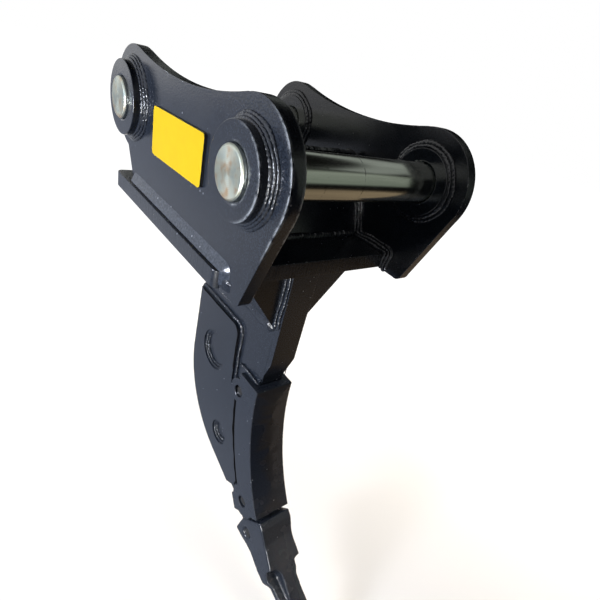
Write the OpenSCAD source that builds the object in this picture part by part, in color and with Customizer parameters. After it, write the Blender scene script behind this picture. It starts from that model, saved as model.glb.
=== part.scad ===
// Excavator rock ripper: a pin-on hanger, a curved plate shank, a cast shank protector and a pinned tooth tip.
// X points to the digging side, Y runs along the pins and Z points up.
// The origin lies on the arm pin's axis, half way between the two ears.

/* [Pins] */
// Diameter of both hinge pins
pin_d = 80; // [70:1:90]
// Distance along X between the two pin axes
pin_centres = 465; // [440:1:500]
// Height of the arm pin above the link pin
link_drop = 7; // [0:1:20]
// Length of each pin end that stands proud of its boss
pin_proud = 7; // [4:1:15]
// Chamfer on the pin ends
pin_chamfer = 3; // [1:0.5:5]
// Running clearance on the pin diameter
pin_clear = 0.6; // [0.2:0.1:1.5]

/* [Hanger ears] */
// Thickness of an ear plate
ear_t = 25; // [20:1:32]
// Clear width between the two ear plates
ear_gap = 396; // [360:2:440]
// Radius of the ear around the arm pin
ear_r_arm = 108; // [100:1:116]
// Radius of the ear around the link pin
ear_r_link = 102; // [98:1:110]
// Radius of the hollow top edge between the two pins
saddle_r = 900; // [700:10:1200]
// Lean of the ear's front edge from upright, in degrees
ear_lean = 20; // [15:1:25]
// Radius of the toe's front corner
toe_r = 18; // [8:1:25]
// Depth of the toe below the base plate
toe_drop = 8; // [4:1:15]
// Distance from the arm pin axis back to the foot of the ear's rear edge
heel_foot = 450; // [430:1:465]
// Lean of the ear's rear edge from upright, in degrees
heel_lean = 30; // [20:1:35]

/* [Bosses] */
// Outer diameter of the boss collar on the outer side of an ear
collar_d = 143; // [136:1:150]
// Height of the boss collar on the outer side of an ear
collar_h = 25; // [18:1:32]
// Outer diameter of the boss body that passes through an ear
boss_d = 135; // [126:1:135]
// Height of the boss on the inner side of an ear
boss_h = 10; // [6:1:16]
// Gap round the boss body in its ear
boss_clear = 0.2; // [0.1:0.1:0.5]
// Chamfer at the mouth of a boss bore
boss_chamfer = 3; // [1:0.5:4]
// Leg of the fillet weld round a boss
boss_weld = 12; // [8:1:14]
// Leg of the fillet weld round the inner side of a boss
boss_weld_in = 8; // [5:1:10]

/* [Base plate] */
// Depth of the base plate's top below the arm pin axis
base_drop = 172; // [160:1:190]
// Thickness of the base plate
base_t = 34; // [28:1:40]
// Distance from the arm pin axis back to the base plate's front edge
base_front = 16; // [10:1:22]
// Length of the base plate along X
base_len = 496; // [480:1:520]
// Width of the ledge that the base plate makes outside each ear
ledge_w = 17; // [14:1:30]
// Radius of the base plate's corners
base_r = 14; // [6:1:20]

/* [Cross plates] */
// Thickness of the two cross plates
cross_t = 20; // [14:1:26]
// Distance from the arm pin axis back to the foot of the front cross plate
cross_foot = 122; // [115:1:135]
// Lean of the front cross plate from upright, in degrees
cross_lean = 21; // [15:1:25]
// Depth of the ridge of the cross plates below the arm pin axis
cross_top = 4; // [0:1:20]
// Distance along X between the feet of the two cross plates, over their outer faces
cross_span = 232; // [220:2:260]

/* [Shank] */
// Thickness of the shank plate
shank_t = 70; // [60:1:74]
// Distance from the arm pin axis back to the shank's front face
shank_front = 48; // [44:1:60]
// Depth of the shank along X
shank_depth = 346; // [330:1:370]
// Length of the shank's upright front face below the base plate
shank_straight = 258; // [245:1:270]
// Length of the shank's upright rear face below the base plate
shank_rear = 432; // [415:1:445]
// Radius of the shank's rear curve
heel_r = 298; // [270:1:320]
// Slope of the shank's sole below level, in degrees
sole_slope = 20; // [17:1:23]

/* [Cheek plates] */
// Thickness of the wear plate on each side of the shank
cheek_t = 12; // [8:1:16]
// Depth of the cheek plate's top below the base plate
cheek_drop = 239; // [225:1:260]
// Distance from the shank's front face back to the cheek plate's front edge
cheek_setback = 132; // [120:1:150]
// Distance of the cheek plate's rear edge from the shank's rear edge
cheek_inset = 5; // [3:1:10]
// Gap between the cheek plate and the shank protector
cheek_gap = 11; // [6:1:16]
// Radius of the cheek plate's top front corner
cheek_r = 28; // [15:1:40]
// Diameter of the upper plug weld hole
plug_d_up = 116; // [90:1:125]
// Diameter of the lower plug weld hole
plug_d_low = 74; // [50:1:80]
// Distance from the shank's rear face to the upper plug hole
plug_in_up = 116; // [105:1:125]
// Distance from the shank's rear face to the lower plug hole
plug_in_low = 212; // [205:1:220]
// Depth of the upper plug hole below the base plate
plug_drop_up = 382; // [360:1:400]
// Depth of the lower plug hole below the base plate
plug_drop_low = 620; // [605:1:635]

/* [Side braces] */
// Thickness of the sloping brace plates and of their end gussets
brace_t = 20; // [14:1:24]
// Reach of a brace along the base plate, out from the shank
brace_reach = 130; // [110:1:140]
// Drop of a brace down the shank's side
brace_drop = 167; // [150:1:180]
// Distance from the shank's front and rear faces to the brace ends
brace_setback = 20; // [16:1:40]
// Leg of the weld bead along the braces and gussets
brace_weld = 16; // [8:1:16]

/* [Shank protector] */
// Outer width of the shank protector
guard_w = 108; // [104:1:116]
// Radius of the protector's hollow front edges
guard_r = 600; // [580:5:620]
// Height of the ridge along the protector's front
guard_ridge = 11; // [5:1:16]
// Depth of the protector's top below the base plate
guard_drop = 344; // [335:1:355]
// Depth of the protector from its front edge to the back of its side walls
guard_depth = 80; // [74:1:84]
// Thickness of the protector's front wall at its edges
guard_wall = 22; // [18:1:26]
// Length of the protector as an angle about the centre of its front curve
guard_sweep = 37.2; // [36:0.1:38]
// Radius of the upper pin lug
lug_r_up = 36; // [30:1:38]
// Radius of the lower pin lug
lug_r_low = 48; // [40:1:50]
// Diameter of the protector's two retaining pins
guard_pin_d = 24; // [18:1:28]
// Clearance on each side of the shank inside the castings
cast_clear = 0.5; // [0.2:0.1:1.5]
// Depth at which the retaining pins lie below the casting's side
pin_recess = 5; // [2:1:10]
// Diameter of the counterbore round each retaining pin
pin_bore_d = 34; // [30:1:40]
// Depth of the counterbore round each retaining pin
pin_bore_t = 8; // [6:1:12]

/* [Tooth tip] */
// Outer width of the tip at its root
tip_w = 100; // [94:1:104]
// Slope of the tip's axis below level, in degrees
tip_slope = 30; // [27:1:33]
// Length of the tip ahead of its middle
tip_reach = 292; // [260:1:320]
// Height of the tip's root above its axis
tip_up = 84; // [78:1:90]
// Height of the tip's root below its axis
tip_low = 68; // [64:1:76]
// Width of the tip's cutting edge
tip_edge_w = 74; // [60:1:80]
// Thickness of the tip's cutting edge
tip_edge_t = 12; // [6:1:18]
// Width of the rib that stands between the side scallops
rib_w = 36; // [26:1:50]
// Thickness of the flange below the side scallops
flange_t = 22; // [16:1:28]
// Radius in which a side scallop starts
scallop_r = 30; // [20:1:34]
// Distance from the tip's middle to the start of the side scallops
scallop_start = 117; // [110:1:122]
// Distance from the tip's middle to the step in its sole
heel_step = 145; // [138:1:150]
// Diameter of the tip's retaining pin
tip_pin_d = 24; // [18:1:28]

/* [Name plate] */
// Length of the bare plate on the left ear
plate_l = 212; // [160:1:216]
// Height of the bare plate on the left ear
plate_h = 90; // [60:1:100]
// Thickness of the bare plate
plate_t = 6; // [3:1:8]
// Corner radius of the bare plate
plate_r = 8; // [2:1:15]
// Tilt of the bare plate, in degrees
plate_tilt = 2; // [0:0.5:4]

/* [Hidden] */
$fn = 96;
far = 2000;
paint = "#2b2c30";
cast_paint = "#303136";
zinc = "#c9cbb8";
yellow = "#ffd900";

link = [-pin_centres, -link_drop];
ear_in = ear_gap / 2;
ear_out = ear_in + ear_t;
ear_mid = ear_in + ear_t / 2;
boss_face = ear_in - boss_h;
collar_face = ear_out + collar_h;
pin_len = 2 * (collar_face + pin_proud);
base_top = -base_drop;
base_under = base_top - base_t;
base_w = 2 * (ear_out + ledge_w);
toe_z = base_under - toe_drop;
toe_c = [(ear_r_arm - toe_r + (toe_z + toe_r) * sin(ear_lean)) / cos(ear_lean), toe_z + toe_r];

// The hollow top edge touches both ear arcs, so its centre follows from the three radii.
blend_ease = 0.5;
saddle_arm = saddle_r + ear_r_arm;
saddle_link = saddle_r + ear_r_link;
pin_dist = norm(link);
saddle_along = (pow(saddle_arm, 2) - pow(saddle_link, 2) + pow(pin_dist, 2)) / (2 * pin_dist);
saddle_up = sqrt(pow(saddle_arm, 2) - pow(saddle_along, 2));
link_dir = link / pin_dist;
saddle_c = [link_dir[0] * saddle_along + link_dir[1] * saddle_up,
            link_dir[1] * saddle_along - link_dir[0] * saddle_up];

// The front of the shank protector is a ring sector about this centre, below level from the -X side.
guard_back = 2;
ring_c = [guard_r - shank_front - guard_back, base_under - guard_drop];
seat_r = guard_r + guard_wall;
shank_seat = seat_r + cast_clear;
wall_r = guard_r + guard_depth;
function ring_point(r, a) = ring_c + r * [-cos(a), -sin(a)];

// Points along an arc about c, from the angle a0 to a1 below level, seen from the -X side.
arc_steps = 48;
function arc_points(c, r, a0, a1) =
  [for (k = [0:arc_steps]) let (a = a0 + (a1 - a0) * k / arc_steps) c + r * [-cos(a), -sin(a)]];

guard_pin_up = ring_point(guard_r + 76, 4.9);
guard_pin_low = ring_point(guard_r + 66, 34.1);
lug_back = 121;
lug_past = 2.2;

// The shank's rear curve runs from its upright rear face into the straight sole.
shank_back = -shank_front - shank_depth;
heel_top = base_under - shank_rear;
heel_turn = 90 - sole_slope;
heel_c = [shank_back + heel_r, heel_top];
heel_end = heel_c + heel_r * [-cos(heel_turn), -sin(heel_turn)];
sole_dir = [cos(sole_slope), -sin(sole_slope)];
sole_run = 160;
sole_end = heel_end + sole_run * sole_dir;

// The tip is drawn along its own axis, U forward to the point and V square to it.
tip_c = ring_point(guard_r + 67, guard_sweep + 4.1);
tip_u = [cos(tip_slope), -sin(tip_slope)];
tip_v = [sin(tip_slope), cos(tip_slope)];
function tip_at(u, v) = tip_c + u * tip_u + v * tip_v;
tip_pin_c = tip_at(9, -20);
sole_rise = tip_low / (tip_reach + 18);
function sole_v(u) = (u + 18) * sole_rise - tip_low;

// The tip's upper face breaks once and then runs straight to the edge.
top_break = [52, tip_up * 0.7];
top_end = [tip_reach - 10, tip_edge_t];

// Ahead of the heel the tip is a blade, and the floor of its side scallops is parallel to the blade's underside.
blade_start = [heel_step + 13, sole_v(heel_step) / 2];
blade_rise = -blade_start[1] / (tip_reach - blade_start[0]);
function floor_v(u) = blade_start[1] + flange_t + (u - blade_start[0]) * blade_rise;

seat_end = guard_sweep + 0.3;
nose_top = ring_point(shank_seat, seat_end);
nose_end_up = tip_at(84, 26);
nose_end_low = tip_at(84, -24);
nose_root_low = tip_at(-46, -46);

cheek_top = base_under - cheek_drop;
cheek_front = -shank_front - cheek_setback;
cheek_face = shank_t / 2 + cheek_t;
plug_up = [shank_back + plug_in_up, base_under - plug_drop_up];
plug_low = [shank_back + plug_in_low, base_under - plug_drop_low];

brace_len = shank_depth - 2 * brace_setback;
brace_mid = -shank_front - shank_depth / 2;
brace_slope = atan2(brace_drop, brace_reach);
plate_c = [link[0] / 2, -30];

// A plate seen from the side: drawn in X and Z, with its thickness centred at y.
module side_plate(y, t) {
  translate([0, y, 0])
    rotate([90, 0, 0])
      linear_extrude(height = t, center = true)
        children();
}

// A ring about the Y axis at a point of the side view, drawn as distance from the axis against Y.
module turned(at) {
  translate([at[0], 0, at[1]])
    rotate([-90, 0, 0])
      rotate_extrude()
        children();
}

module disc(at, r) {
  translate(at)
    circle(r = r);
}

module ring_wedge(a0, a1) {
  polygon([ring_c, ring_point(far, a0), ring_point(far, (a0 + a1) / 2), ring_point(far, a1)]);
}

module ring_sector(r, a0, a1) {
  intersection() {
    disc(ring_c, r, $fn = 360);
    ring_wedge(a0, a1);
  }
}

// The ear between its round ends. Its edges start a little inside the rounds, so that they cross them cleanly.
module ear_web() {
  lean = [cos(ear_lean), -sin(ear_lean)];
  heel_up = 130;
  polygon([
    [0, 0],
    (ear_r_arm - blend_ease) * lean,
    toe_c + (toe_r - blend_ease) * lean,
    toe_c - [0, toe_r - blend_ease],
    [-base_front, toe_z + blend_ease],
    [-base_front, base_top],
    [-heel_foot, base_top],
    [-heel_foot - heel_up * tan(heel_lean), base_top + heel_up],
    link,
    link + (ear_r_link - blend_ease) * (saddle_c - link) / saddle_link,
    (ear_r_arm - blend_ease) * saddle_c / saddle_arm
  ]);
}

module ear(side) {
  y = side * ear_mid;
  color(paint)
    difference() {
      union() {
        side_plate(y, ear_t)
          ear_web();
        side_plate(y, ear_t)
          disc([0, 0], ear_r_arm);
        side_plate(y, ear_t)
          disc(link, ear_r_link);
        side_plate(y, ear_t)
          disc(toe_c, toe_r);
      }
      side_plate(y, ear_t + 2)
        disc(saddle_c, saddle_r - blend_ease, $fn = 360);
      for (at = [[0, 0], link])
        side_plate(y, ear_t + 2)
          disc(at, boss_d / 2 + boss_clear);
    }
}

module left_ear() {
  ear(-1);
}

module right_ear() {
  ear(1);
}

// A boss passes through its ear and carries a wider collar on the outer side.
module boss_section(side) {
  bore = (pin_d + pin_clear) / 2;
  scale([1, side])
    polygon([
      [bore, boss_face + boss_chamfer],
      [bore + boss_chamfer, boss_face],
      [boss_d / 2, boss_face],
      [boss_d / 2, ear_out],
      [collar_d / 2, ear_out],
      [collar_d / 2, collar_face],
      [bore + boss_chamfer, collar_face],
      [bore, collar_face - boss_chamfer]
    ]);
}

module boss(at, side) {
  color(paint)
    turned(at)
      boss_section(side);
}

module left_arm_boss() {
  boss([0, 0], -1);
}

module right_arm_boss() {
  boss([0, 0], 1);
}

module left_link_boss() {
  boss(link, -1);
}

module right_link_boss() {
  boss(link, 1);
}

module hinge_pin(at) {
  half = pin_len / 2;
  color(zinc)
    turned(at)
      polygon([
        [0, -half],
        [pin_d / 2 - pin_chamfer, -half],
        [pin_d / 2, -half + pin_chamfer],
        [pin_d / 2, half - pin_chamfer],
        [pin_d / 2 - pin_chamfer, half],
        [0, half]
      ]);
}

module arm_pin() {
  hinge_pin([0, 0]);
}

module link_pin() {
  hinge_pin(link);
}

// The fillet weld that closes the corner between an ear and a boss.
module weld_ring(at, side, r, y, reach, rise) {
  turned(at)
    scale([1, side])
      polygon([[r, y], [r + reach, y], [r, y + rise]]);
}

module boss_welds() {
  color(paint)
    for (at = [[0, 0], link], side = [-1, 1])
      weld_ring(at, side, collar_d / 2, ear_out, boss_weld, boss_weld);
}

module inner_boss_welds() {
  color(paint)
    for (at = [[0, 0], link], side = [-1, 1])
      weld_ring(at, side, boss_d / 2, ear_in, boss_weld_in * 1.8, -boss_weld_in);
}

module base_plate() {
  x0 = -base_front - base_len + base_r;
  x1 = -base_front - base_r;
  y1 = base_w / 2 - base_r;
  color(paint)
    translate([0, 0, base_under])
      linear_extrude(height = base_t)
        union() {
          for (x = [x0, x1], y = [-y1, y1])
            disc([x, y], base_r);
          polygon([[x0 - base_r, -y1], [x1 + base_r, -y1], [x1 + base_r, y1], [x0 - base_r, y1]]);
          polygon([[x0, -y1 - base_r], [x1, -y1 - base_r], [x1, y1 + base_r], [x0, y1 + base_r]]);
        }
}

// The two cross plates lean together and meet in a ridge between the pins.
cross_h = base_drop - cross_top;
ridge_x = -cross_foot - cross_h * tan(cross_lean);
cross_run = cross_t / cos(cross_lean);
rear_foot = -cross_foot - cross_span;
rear_lean = atan2(ridge_x - cross_run - rear_foot, cross_h);

module front_cross_plate() {
  color(paint)
    side_plate(0, ear_gap)
      polygon([
        [-cross_foot, base_top],
        [ridge_x, -cross_top],
        [ridge_x - cross_run, -cross_top],
        [-cross_foot - cross_run, base_top]
      ]);
}

module rear_cross_plate() {
  drop = cross_t / sin(rear_lean);
  low = cross_t / cos(rear_lean);
  joint = ridge_x - cross_run;
  front_at = joint + drop * tan(cross_lean) * tan(rear_lean) / (tan(rear_lean) + tan(cross_lean));
  front_z = -cross_top - (front_at - joint) / tan(cross_lean);
  color(paint)
    side_plate(0, ear_gap)
      polygon([
        [joint, -cross_top],
        [front_at, front_z],
        [rear_foot + low, base_top],
        [rear_foot, base_top]
      ]);
}

// The brace's outer face slopes from the base plate in to the shank's side; U is out from the shank.
module brace_profile(inner) {
  polygon(inner
    ? [[0, 0], [brace_reach, 0], [0, -brace_drop]]
    : [
        [brace_reach, 0],
        [0, -brace_drop],
        [0, -brace_drop + brace_t / cos(brace_slope)],
        [brace_reach - brace_t / sin(brace_slope), 0]
      ]);
}

// Extrudes a section drawn as distance from the shank's side against depth below the base plate.
module along_shank(x, len, side) {
  translate([x, side * shank_t / 2, base_under])
    rotate([90, 0, 90])
      linear_extrude(height = len)
        scale([side, 1])
          children();
}

brace_x0 = brace_mid - brace_len / 2;
brace_x1 = brace_mid + brace_len / 2;

module brace(side) {
  color(paint)
    along_shank(brace_x0 + brace_t, brace_len - 2 * brace_t, side)
      brace_profile(false);
}

module left_brace() {
  brace(-1);
}

module right_brace() {
  brace(1);
}

module front_gussets() {
  color(paint)
    for (side = [-1, 1])
      along_shank(brace_x1 - brace_t, brace_t, side)
        brace_profile(true);
}

module rear_gussets() {
  color(paint)
    for (side = [-1, 1])
      along_shank(brace_x0, brace_t, side)
        brace_profile(true);
}

// One bead under each brace and one upright bead at each gusset, all against the shank's side.
module brace_welds() {
  rise = brace_weld * 1.1;
  up = brace_drop - brace_weld;
  color(paint)
    for (side = [-1, 1]) {
      along_shank(brace_x0, brace_len, side)
        polygon([
          [0, -brace_drop - brace_weld],
          [rise * cos(brace_slope), -brace_drop + rise * sin(brace_slope)],
          [0, -brace_drop]
        ]);
      for (end = [0, 1])
        translate([end == 1 ? brace_x1 : brace_x0, side * shank_t / 2, base_under - up])
          linear_extrude(height = up)
            scale([end == 1 ? 1 : -1, side])
              polygon([[0, 0], [brace_weld, 0], [0, brace_weld * 0.5]]);
    }
}

// The front edge runs in a ramp into the seat of the protector, and the seat ends in the nose for the tip.
module shank_profile() {
  seat_start = -1.2;
  difference() {
    polygon(concat(
      [[-shank_front, base_under], [-shank_front, base_under - shank_straight]],
      arc_points(ring_c, shank_seat, seat_start, seat_end),
      [nose_end_up, nose_end_low, nose_root_low, sole_end],
      arc_points(heel_c, heel_r, heel_turn, 0),
      [[shank_back, base_under]]
    ));
    disc(guard_pin_up, (guard_pin_d + 2 * cast_clear) / 2);
    disc(guard_pin_low, (guard_pin_d + 2 * cast_clear) / 2);
    disc(tip_pin_c, (tip_pin_d + 2 * cast_clear) / 2);
  }
}

module shank() {
  color(paint)
    side_plate(0, shank_t)
      shank_profile();
}

cheek_back = shank_back + cheek_inset;
cheek_heel_r = heel_r - cheek_inset;
cheek_sole = heel_c + cheek_heel_r * [-cos(heel_turn), -sin(heel_turn)];
cheek_c = [cheek_front - cheek_r, cheek_top - cheek_r];

module cheek_profile() {
  difference() {
    polygon(concat(
      [[cheek_back, cheek_top]],
      arc_points(cheek_c, cheek_r, 270, 180),
      [[cheek_front + 8, guard_pin_up[1]], ring_c, cheek_sole + (sole_run - 10) * sole_dir],
      arc_points(heel_c, cheek_heel_r, heel_turn, 0)
    ));
    ring_sector(wall_r + cheek_gap, -20, 60);
    ring_wedge(guard_sweep - 5.5, 80);
    disc(guard_pin_up, lug_r_up + cheek_gap);
    disc(guard_pin_low, lug_r_low + cheek_gap);
    disc(plug_up, plug_d_up / 2);
    disc(plug_low, plug_d_low / 2);
  }
}

module cheek(side) {
  color(paint)
    side_plate(side * (shank_t + cheek_t) / 2, cheek_t)
      cheek_profile();
}

module left_cheek_plate() {
  cheek(-1);
}

module right_cheek_plate() {
  cheek(1);
}

// The outline of the protector in the side view, with its two pin lugs, as a solid block.
module guard_block() {
  side_plate(0, guard_w)
    ring_sector(wall_r, 0, guard_sweep);
  side_plate(0, guard_w)
    intersection() {
      disc(guard_pin_up, lug_r_up);
      ring_wedge(0, guard_sweep);
    }
  side_plate(0, guard_w)
    intersection() {
      disc(guard_pin_low, lug_r_low);
      ring_wedge(0, guard_sweep + lug_past);
    }
  side_plate(0, guard_w)
    ring_sector(guard_r + lug_back, guard_sweep - 4, guard_sweep);
}

// A hole through a casting of the width w, with a counterbore from both sides.
module pin_hole(at, d, w) {
  past = 2;
  side_plate(0, w + 2 * past)
    disc(at, d / 2 + cast_clear);
  for (side = [-1, 1])
    side_plate(side * (w / 2 + past - (pin_bore_t + past) / 2), pin_bore_t + past)
      disc(at, pin_bore_d / 2);
}

// All that lies behind the ridged front, swept about the ring centre and past both ends.
module guard_vee() {
  past = 6;
  side = guard_w / 2 + past;
  edge_r = guard_r + past * guard_ridge / (guard_w / 2);
  back_r = guard_r + 2 * lug_back;
  translate([ring_c[0], 0, ring_c[1]])
    rotate([90, 0, 0])
      rotate([0, 0, 180 - past])
        rotate_extrude(angle = guard_sweep + 2 * past, $fn = 360)
          polygon([
            [guard_r - guard_ridge, 0],
            [edge_r, side],
            [back_r, side],
            [back_r, -side],
            [edge_r, -side]
          ]);
}

// The hollow that takes the shank, open to the back and at both ends.
module guard_pocket() {
  difference() {
    ring_wedge(-6, guard_sweep + 6);
    disc(ring_c, seat_r, $fn = 360);
  }
}

// The ridge ends in a sloping facet at the top and at the bottom.
module guard_facet(edge, ridge) {
  past = 3;
  side_plate(0, guard_w + 2)
    polygon([
      ring_point(guard_r + past, edge - (ridge - edge) * past / guard_ridge),
      ring_point(guard_r - guard_ridge - past, ridge + (ridge - edge) * past / guard_ridge),
      ring_point(guard_r - 60, ridge),
      ring_point(guard_r - 60, edge - (ridge - edge) * past / guard_ridge)
    ]);
}

module shank_protector() {
  facet = 4;
  color(cast_paint)
    difference() {
      intersection() {
        guard_block();
        guard_vee();
      }
      side_plate(0, shank_t + 2 * cast_clear)
        guard_pocket();
      for (at = [guard_pin_up, guard_pin_low])
        pin_hole(at, guard_pin_d, guard_w);
      guard_facet(0, facet);
      guard_facet(guard_sweep, guard_sweep - facet);
    }
}

module cross_pin(at, d, len) {
  side_plate(0, len)
    disc(at, d / 2, $fn = 48);
}

module protector_pins() {
  len = guard_w - 2 * pin_recess;
  color(zinc) {
    cross_pin(guard_pin_up, guard_pin_d, len);
    cross_pin(guard_pin_low, guard_pin_d, len);
  }
}

// The socket box flares at its root and ends in a heel; the blade ahead of it ends in a short bevel.
module tip_profile() {
  lip = 21;
  flare = 12;
  polygon([
    tip_at(-8, tip_up),
    tip_at(lip - 8, tip_up - 4),
    tip_at(top_break[0], top_break[1]),
    tip_at(top_end[0], top_end[1]),
    tip_at(tip_reach, 0),
    tip_at(blade_start[0], blade_start[1]),
    tip_at(heel_step, sole_v(heel_step)),
    tip_at(32, sole_v(32)),
    tip_at(-14, sole_v(-14) - flare),
    tip_at(-33, -17)
  ]);
}

module socket_profile() {
  lift = 0.2;
  polygon([
    nose_top - tip_u * 40,
    nose_top + lift * tip_v,
    nose_end_up + lift * tip_v,
    nose_end_up + lift * tip_u,
    nose_end_low + lift * tip_u,
    nose_end_low - lift * tip_v,
    nose_root_low - lift * tip_v,
    nose_root_low - tip_u * 60
  ]);
}

// The tip seen square to its axis: a waist ahead of the pin, full width at the heel, then the narrower blade.
module tip_plan() {
  root = tip_w / 2;
  edge = tip_edge_w / 2;
  waist = 4;
  half = [
    [-60, root - waist], [10, root], [62, root - waist], [scallop_start - 8, root], [heel_step + 4, root],
    [heel_step + 18, edge + 5], [heel_step + 55, edge + 2], [tip_reach + 1, edge]
  ];
  polygon(concat(half, [for (k = [len(half) - 1:-1:0]) [half[k][0], -half[k][1]]]));
}

// One scallop seen square to the tip's axis: it starts in a round corner and runs out past the point.
module scallop_plan() {
  past = tip_reach + 60;
  polygon(concat(
    [[scallop_start, tip_w]],
    arc_points([scallop_start + scallop_r, rib_w / 2 + scallop_r], scallop_r, 0, 90),
    [[past, rib_w / 3], [past, tip_w]]
  ));
}

// The same scallop in the side view: a round end that runs into the floor.
module scallop_side() {
  past = tip_reach + 60;
  u = scallop_start - 1 + scallop_r;
  v = floor_v(u) + scallop_r;
  round_end = arc_points([u, v], scallop_r, 0, 90);
  polygon(concat(
    [tip_at(scallop_start - 1, tip_up)],
    [for (k = round_end) tip_at(k[0], k[1])],
    [tip_at(past, floor_v(past)), tip_at(past, tip_up)]
  ));
}

// Puts a plan square to the tip's axis, deep enough to cross the whole tip.
module across_tip() {
  translate([tip_c[0], 0, tip_c[1]])
    rotate([0, tip_slope, 0])
      linear_extrude(height = tip_reach + tip_w, center = true)
        children();
}

module tooth_tip() {
  gap = shank_t / 2 + cast_clear;
  past = 10;
  color(cast_paint)
    difference() {
      intersection() {
        side_plate(0, tip_w + past)
          tip_profile();
        across_tip()
          tip_plan();
      }
      side_plate(0, 2 * gap)
        socket_profile();
      pin_hole(tip_pin_c, tip_pin_d, tip_w);
      for (side = [-1, 1])
        intersection() {
          side_plate(side * tip_w / 2, tip_w - past)
            scallop_side();
          across_tip()
            scale([1, side])
              scallop_plan();
        }
    }
}

module tip_pin() {
  color(zinc)
    cross_pin(tip_pin_c, tip_pin_d, tip_w - 2 * pin_recess);
}

module name_plate() {
  x = plate_l / 2 - plate_r;
  z = plate_h / 2 - plate_r;
  color(yellow)
    side_plate(-ear_out - plate_t / 2, plate_t)
      translate(plate_c)
        rotate(plate_tilt)
          union() {
            for (cx = [-x, x], cz = [-z, z])
              disc([cx, cz], plate_r);
            polygon([[-x - plate_r, -z], [x + plate_r, -z], [x + plate_r, z], [-x - plate_r, z]]);
            polygon([[-x, -z - plate_r], [x, -z - plate_r], [x, z + plate_r], [-x, z + plate_r]]);
          }
}

left_ear();
right_ear();
left_arm_boss();
right_arm_boss();
left_link_boss();
right_link_boss();
arm_pin();
link_pin();
base_plate();
front_cross_plate();
rear_cross_plate();
boss_welds();
inner_boss_welds();
left_brace();
right_brace();
front_gussets();
rear_gussets();
brace_welds();
shank();
left_cheek_plate();
right_cheek_plate();
shank_protector();
protector_pins();
tooth_tip();
tip_pin();
name_plate();
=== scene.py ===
# %% [markdown]
# # A pin-on rock ripper in Blender
# The imported solids are the fixed frame: every plate, pin and casting already has its true size and place.
# This lesson gives them rounded edges, rippled weld beads and painted, plated and cast surfaces. The box of
# the solids is kept.

# %% Load the frame
import math

import bmesh
import bpy
import numpy as np
from mathutils import Matrix, Vector


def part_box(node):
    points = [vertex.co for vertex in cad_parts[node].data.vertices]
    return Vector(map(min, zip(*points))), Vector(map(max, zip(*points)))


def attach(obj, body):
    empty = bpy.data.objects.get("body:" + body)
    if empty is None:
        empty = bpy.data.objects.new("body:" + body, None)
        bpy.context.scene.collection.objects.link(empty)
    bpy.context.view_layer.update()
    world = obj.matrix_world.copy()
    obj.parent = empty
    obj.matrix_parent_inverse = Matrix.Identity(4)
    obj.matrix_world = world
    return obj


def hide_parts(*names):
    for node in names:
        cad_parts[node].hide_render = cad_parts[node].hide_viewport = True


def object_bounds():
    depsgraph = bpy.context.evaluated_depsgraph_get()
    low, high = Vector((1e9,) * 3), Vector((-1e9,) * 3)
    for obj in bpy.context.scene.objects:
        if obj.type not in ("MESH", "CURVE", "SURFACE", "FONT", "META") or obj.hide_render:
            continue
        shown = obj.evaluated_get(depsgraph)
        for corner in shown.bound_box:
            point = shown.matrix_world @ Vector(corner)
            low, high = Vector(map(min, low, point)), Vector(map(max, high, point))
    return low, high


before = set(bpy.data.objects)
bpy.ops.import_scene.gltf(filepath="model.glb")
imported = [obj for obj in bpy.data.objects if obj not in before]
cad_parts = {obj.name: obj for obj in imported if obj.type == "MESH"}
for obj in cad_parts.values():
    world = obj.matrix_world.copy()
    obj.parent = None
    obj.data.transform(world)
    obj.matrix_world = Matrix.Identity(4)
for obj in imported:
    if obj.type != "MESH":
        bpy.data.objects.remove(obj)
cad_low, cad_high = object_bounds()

MM = 0.001
print("CAD box:", [round(v, 4) for v in cad_low], [round(v, 4) for v in cad_high])

# %% [markdown]
# ## The camera
# The photograph was taken close up with a wide lens, a little above the pins and tilted to one side.
# A camera fit gave its place, its three angles, its focal length and the pixel that the lens axis meets.
# Blender takes the last two as a lens length and as a small shift of the picture.

# %% Camera
PHOTO_SIZE = 600
FOCAL_PX = 427.4
AXIS_PX = (310.0, 313.5)
CAMERA_AT = Vector((532.7, -574.1, 172.9)) * MM
YAW, PITCH, ROLL = (math.radians(v) for v in (43.295, 30.740, -16.680))

forward = Vector((-math.sin(YAW) * math.cos(PITCH), math.cos(YAW) * math.cos(PITCH), -math.sin(PITCH)))
level = forward.cross(Vector((0, 0, 1))).normalized()
plumb = forward.cross(level)
right = math.cos(ROLL) * level + math.sin(ROLL) * plumb
down = math.cos(ROLL) * plumb - math.sin(ROLL) * level

camera = bpy.data.objects.new("camera", bpy.data.cameras.new("camera"))
camera.data.sensor_width = 36
camera.data.lens = FOCAL_PX / PHOTO_SIZE * camera.data.sensor_width
camera.data.shift_x = (PHOTO_SIZE / 2 - AXIS_PX[0]) / PHOTO_SIZE
camera.data.shift_y = (AXIS_PX[1] - PHOTO_SIZE / 2) / PHOTO_SIZE
camera.data.clip_start = 0.01
turn = Matrix((right, -down, -forward)).transposed()
camera.matrix_world = Matrix.Translation(CAMERA_AT) @ turn.to_4x4()
bpy.context.scene.collection.objects.link(camera)
bpy.context.scene.camera = camera
print("lens", round(camera.data.lens, 2), "mm")

# %% [markdown]
# ## Helpers for every material
# Colours are picked as sRGB hex values, as in any picture editor, and Blender wants linear light.
# A second helper adds one shader node, sets its values and links its inputs, so a material reads as a list.
# The last one turns the real width of a mark in millimetres into the scale of a texture.

# %% Colour and node helpers
def srgb(code):
    """Linear RGBA of an sRGB hex colour."""
    channels = [int(code[k:k + 2], 16) / 255 for k in (1, 3, 5)]
    linear = [c / 12.92 if c <= 0.04045 else ((c + 0.055) / 1.055) ** 2.4 for c in channels]
    return (*linear, 1.0)


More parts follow.
